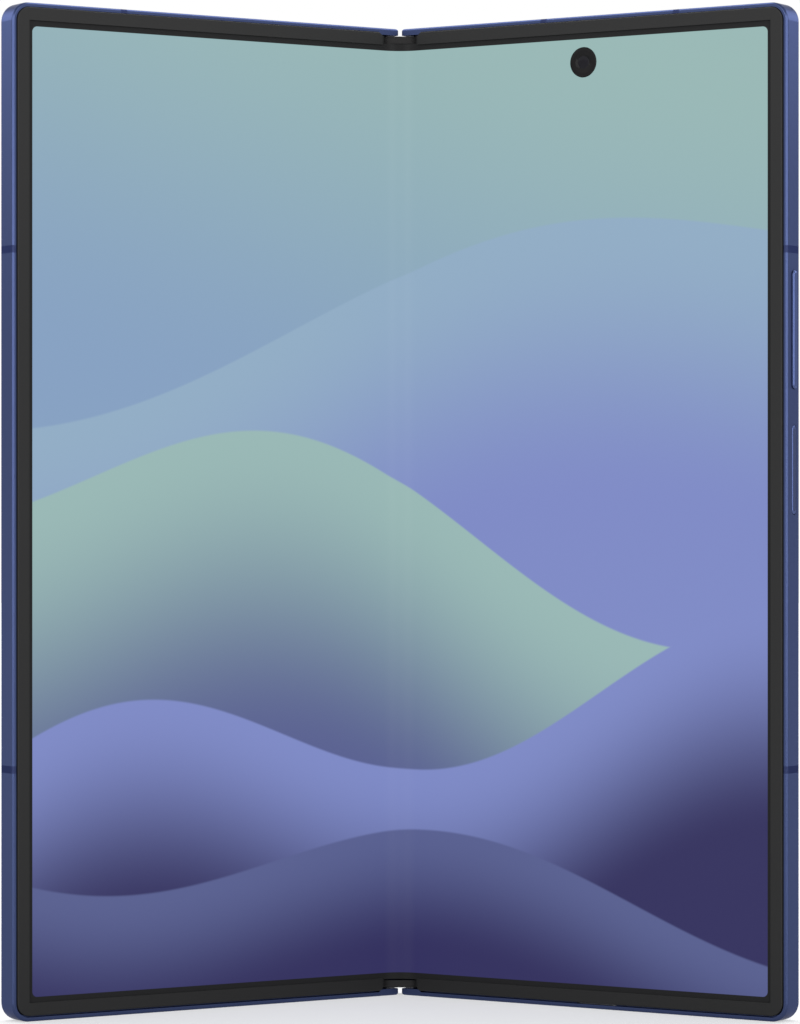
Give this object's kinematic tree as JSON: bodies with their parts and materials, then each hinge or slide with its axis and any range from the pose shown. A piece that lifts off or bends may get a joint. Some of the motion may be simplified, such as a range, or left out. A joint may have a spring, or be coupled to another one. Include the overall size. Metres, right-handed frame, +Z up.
{
  "type": "foldable smartphone",
  "caption": "Book-style folding smartphone with two flat halves on a geared hinge, a flexible inner display, an outer display, side keys and a rear camera island.",
  "frame": {"origin": "middle of the object's box on the surface it stands on", "axes": "+Z up along the fold line, +X from the left half to the right half, +Y away from the inner display's viewer; each half is folded 32.5 degrees from flat towards -Y"},
  "size_m": [0.1242, 0.0414, 0.1584],
  "materials": {
    "blue_aluminium": "fine blasted, blue anodised",
    "antenna_resin": "moulded resin, satin",
    "key_pad": "smooth coated sensor pad",
    "bezel_polymer": "soft matt polymer",
    "display_film": "clear film over a lit panel",
    "steel": "satin stainless steel",
    "gear_bronze": "fine ground",
    "blue_glass": "satin etched glass with blue backing",
    "cover_glass": "polished black glass",
    "lens_ring": "turned, dark blue",
    "lens_glass": "coated lens glass",
    "flash_diffuser": "frosted diffuser",
    "camera_black": "moulded black",
    "battery_foil": "black foil pouch",
    "board_laminate": "solder mask",
    "ribbon_film": "polyimide film",
    "coil_copper": "enamelled copper wire",
    "magnet": "nickel plated",
    "panel_black": "display panel"
  },
  "bodies": {
    "hinge_spine": {"hinge_spine_cover": "blue_aluminium", "hinge_end_caps": "bezel_polymer", "hinge_brackets": "steel", "hinge_gear_pins": "steel", "fold_support_plate": "steel", "hinge_ribbon_cables": "ribbon_film", "display_fold_zone": "display_film"},
    "right_half": {"right_frame": "blue_aluminium", "right_bezel_trim": "bezel_polymer", "right_display_zone": "display_film", "right_support_plate": "steel", "right_hinge_arms": "steel", "right_hinge_screws": "steel", "right_antenna_bands": "antenna_resin", "rear_glass": "blue_glass", "camera_island": "blue_aluminium", "camera_lens_rings": "lens_ring", "camera_lens_glasses": "lens_glass", "rear_camera_modules": "camera_black", "flash_window": "flash_diffuser", "front_camera_window": "lens_glass", "front_camera_module": "camera_black", "main_board": "board_laminate", "board_shield_cans": "steel", "right_battery": "battery_foil", "charging_coil": "coil_copper", "usb_socket": "steel", "bottom_speaker": "camera_black", "vibration_motor": "steel", "lower_board": "board_laminate", "key_flex": "ribbon_film", "key_domes": "steel", "right_magnets": "magnet"},
    "left_half": {"left_frame": "blue_aluminium", "left_bezel_trim": "bezel_polymer", "left_display_zone": "display_film", "left_support_plate": "steel", "left_hinge_arms": "steel", "left_hinge_screws": "steel", "left_antenna_bands": "antenna_resin", "cover_glass": "cover_glass", "cover_display_panel": "panel_black", "cover_camera_module": "camera_black", "earpiece_speaker": "camera_black", "left_battery": "battery_foil", "left_board": "board_laminate", "left_magnets": "magnet", "tray_reader": "steel"},
    "right_idler": {"right_idler_gears": "gear_bronze"},
    "left_idler": {"left_idler_gears": "gear_bronze"},
    "volume_key": {"volume_key": "blue_aluminium"},
    "power_key": {"power_key": "blue_aluminium", "power_key_pad": "key_pad"},
    "card_tray": {"card_tray": "blue_aluminium"}
  },
  "joints": [
    {"name": "right_fold", "type": "hinge", "parent": "hinge_spine", "child": "right_half", "pos_m": [0.00125, 0.01777, 0.0792], "axis": [0, 0, -1], "range_deg": [-32.5, 57.5], "deforming": ["display_fold_zone", "hinge_ribbon_cables"]},
    {"name": "left_fold", "type": "hinge", "parent": "hinge_spine", "child": "left_half", "pos_m": [-0.00125, 0.01777, 0.0792], "axis": [0, 0, 1], "range_deg": [-32.5, 57.5]},
    {"name": "right_idler_spin", "type": "hinge", "parent": "hinge_spine", "child": "right_idler", "pos_m": [0.0008, 0.01889, 0.0792], "axis": [0, 0, 1], "range_deg": [-16.5, 29]},
    {"name": "left_idler_spin", "type": "hinge", "parent": "hinge_spine", "child": "left_idler", "pos_m": [-0.0008, 0.01889, 0.0792], "axis": [0, 0, -1], "range_deg": [-16.5, 29]},
    {"name": "volume_rock", "type": "hinge", "parent": "right_half", "child": "volume_key", "pos_m": [0.06058, -0.01854, 0.10755], "axis": [0.5373, 0.8434, 0], "range_deg": [-0.8, 0.8], "stiffness_Nm_per_rad": 0.6},
    {"name": "power_press", "type": "slide", "parent": "right_half", "child": "power_key", "axis": [-0.8434, 0.5373, 0], "range_m": [0, 0.0002], "stiffness_N_per_m": 1500},
    {"name": "tray_slide", "type": "slide", "parent": "left_half", "child": "card_tray", "axis": [0, 0, 1], "range_m": [0, 0.0215]}
  ],
  "couplings": [
    {"joint": "left_fold", "follows": "right_fold", "ratio": 1},
    {"joint": "right_idler_spin", "follows": "right_fold", "ratio": 0.5},
    {"joint": "left_idler_spin", "follows": "right_fold", "ratio": 0.5}
  ]
}
